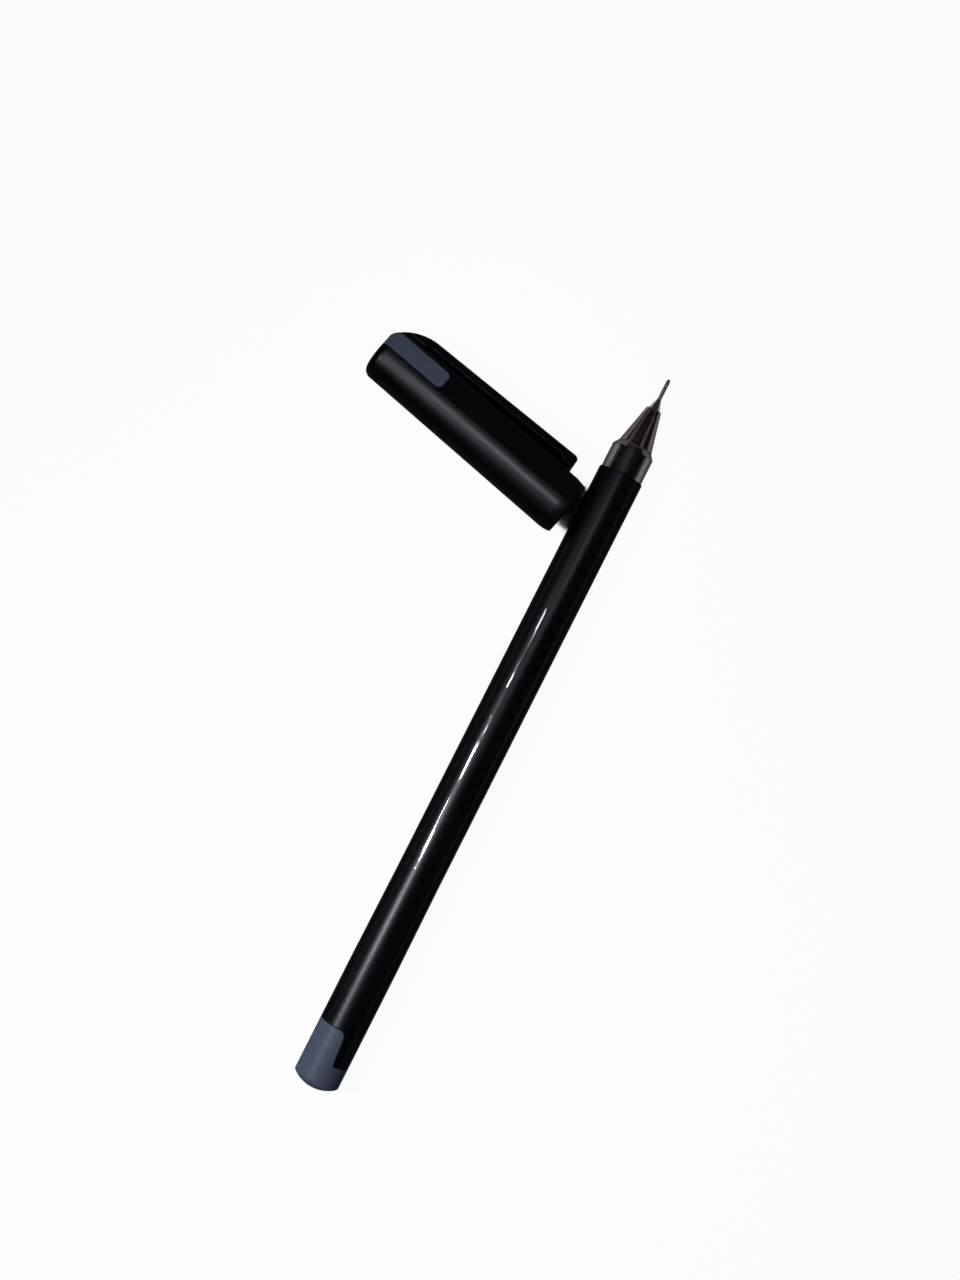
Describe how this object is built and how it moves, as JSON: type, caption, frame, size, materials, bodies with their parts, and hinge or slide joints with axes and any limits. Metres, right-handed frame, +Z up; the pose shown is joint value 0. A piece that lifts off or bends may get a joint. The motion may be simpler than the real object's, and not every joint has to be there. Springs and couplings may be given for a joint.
{
  "type": "ballpoint pen",
  "caption": "Slim black stick ballpoint pen with a clear nose, steel needle tip and grey end plug, lying beside its cap with a pocket clip.",
  "frame": {"origin": "on the table, under the middle of the pen and its cap together", "axes": "+X along the pen toward its tip, +Y toward the cap, +Z up from the table"},
  "size_m": [0.1402, 0.0531, 0.0103],
  "materials": {
    "black_plastic": "satin moulded black",
    "grey_plastic": "satin moulded blue grey",
    "clear_plastic": "clear smoky, polished",
    "refill_plastic": "milky translucent tube",
    "ink": "black ink",
    "grease": "pale grease",
    "holder_plastic": "dark brown moulded",
    "tip_metal": "turned nickel-coloured metal",
    "needle_steel": "drawn steel tube",
    "ball_metal": "polished hard metal",
    "cap_plastic": "satin moulded black",
    "strap_plastic": "satin moulded blue grey"
  },
  "bodies": {
    "pen": {"barrel": "black_plastic", "rear_plug": "grey_plastic", "nose_cone": "clear_plastic", "refill_tube": "refill_plastic", "ink_column": "ink", "ink_follower": "grease", "tip_holder": "holder_plastic", "tip_cone": "tip_metal", "needle_tube": "needle_steel"},
    "ball": {"writing_ball": "ball_metal"},
    "cap": {"cap_shell": "cap_plastic", "cap_clip": "cap_plastic", "cap_insert": "strap_plastic"}
  },
  "joints": [
    {"name": "ball_roll", "type": "hinge", "parent": "pen", "child": "ball", "pos_m": [0.06982, -0.02223, 0.00428], "axis": [0, 1, 0], "continuous": true},
    {"name": "cap_lift", "type": "slide", "parent": "pen", "child": "cap", "axis": [0, 0, 1], "range_m": [0, 0.06]}
  ]
}
